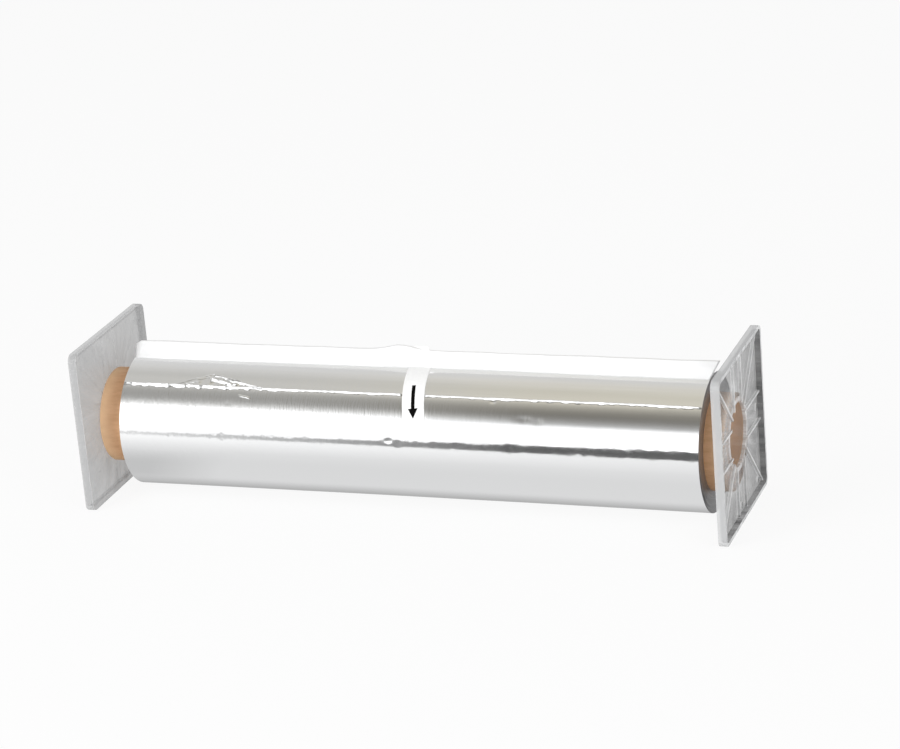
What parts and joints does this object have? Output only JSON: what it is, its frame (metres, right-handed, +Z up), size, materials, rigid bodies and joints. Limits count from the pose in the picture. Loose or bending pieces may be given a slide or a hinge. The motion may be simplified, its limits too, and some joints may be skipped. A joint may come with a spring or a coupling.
{
  "type": "aluminium foil roll",
  "caption": "Catering roll of aluminium foil on a card core that turns on the hubs of square translucent end plates, with a paper start label across its loose end.",
  "frame": {"origin": "on the plane that the end plates stand on, below the middle of the whole object", "axes": "+X along the roll towards the end with the shorter bare stub of core, +Y away from the side with the label, +Z up"},
  "size_m": [0.334, 0.084, 0.084],
  "materials": {
    "card": "plain brown card",
    "foil": "bright, lightly creased",
    "label_paper": "smooth white",
    "ink": "black print",
    "clear_plastic": "translucent, as moulded"
  },
  "bodies": {
    "left_plate": {"left_end_plate": "clear_plastic"},
    "roll": {"core_tube": "card", "foil_roll": "foil", "start_label": "label_paper", "label_arrow": "ink"},
    "right_plate": {"right_end_plate": "clear_plastic"}
  },
  "joints": [
    {"name": "roll_on_left_hub", "type": "hinge", "parent": "left_plate", "child": "roll", "pos_m": [-0.15, 0, 0.0379], "axis": [1, 0, 0], "continuous": true},
    {"name": "right_hub_in_core", "type": "hinge", "parent": "roll", "child": "right_plate", "pos_m": [0.15, 0, 0.0379], "axis": [1, 0, 0], "continuous": true}
  ]
}
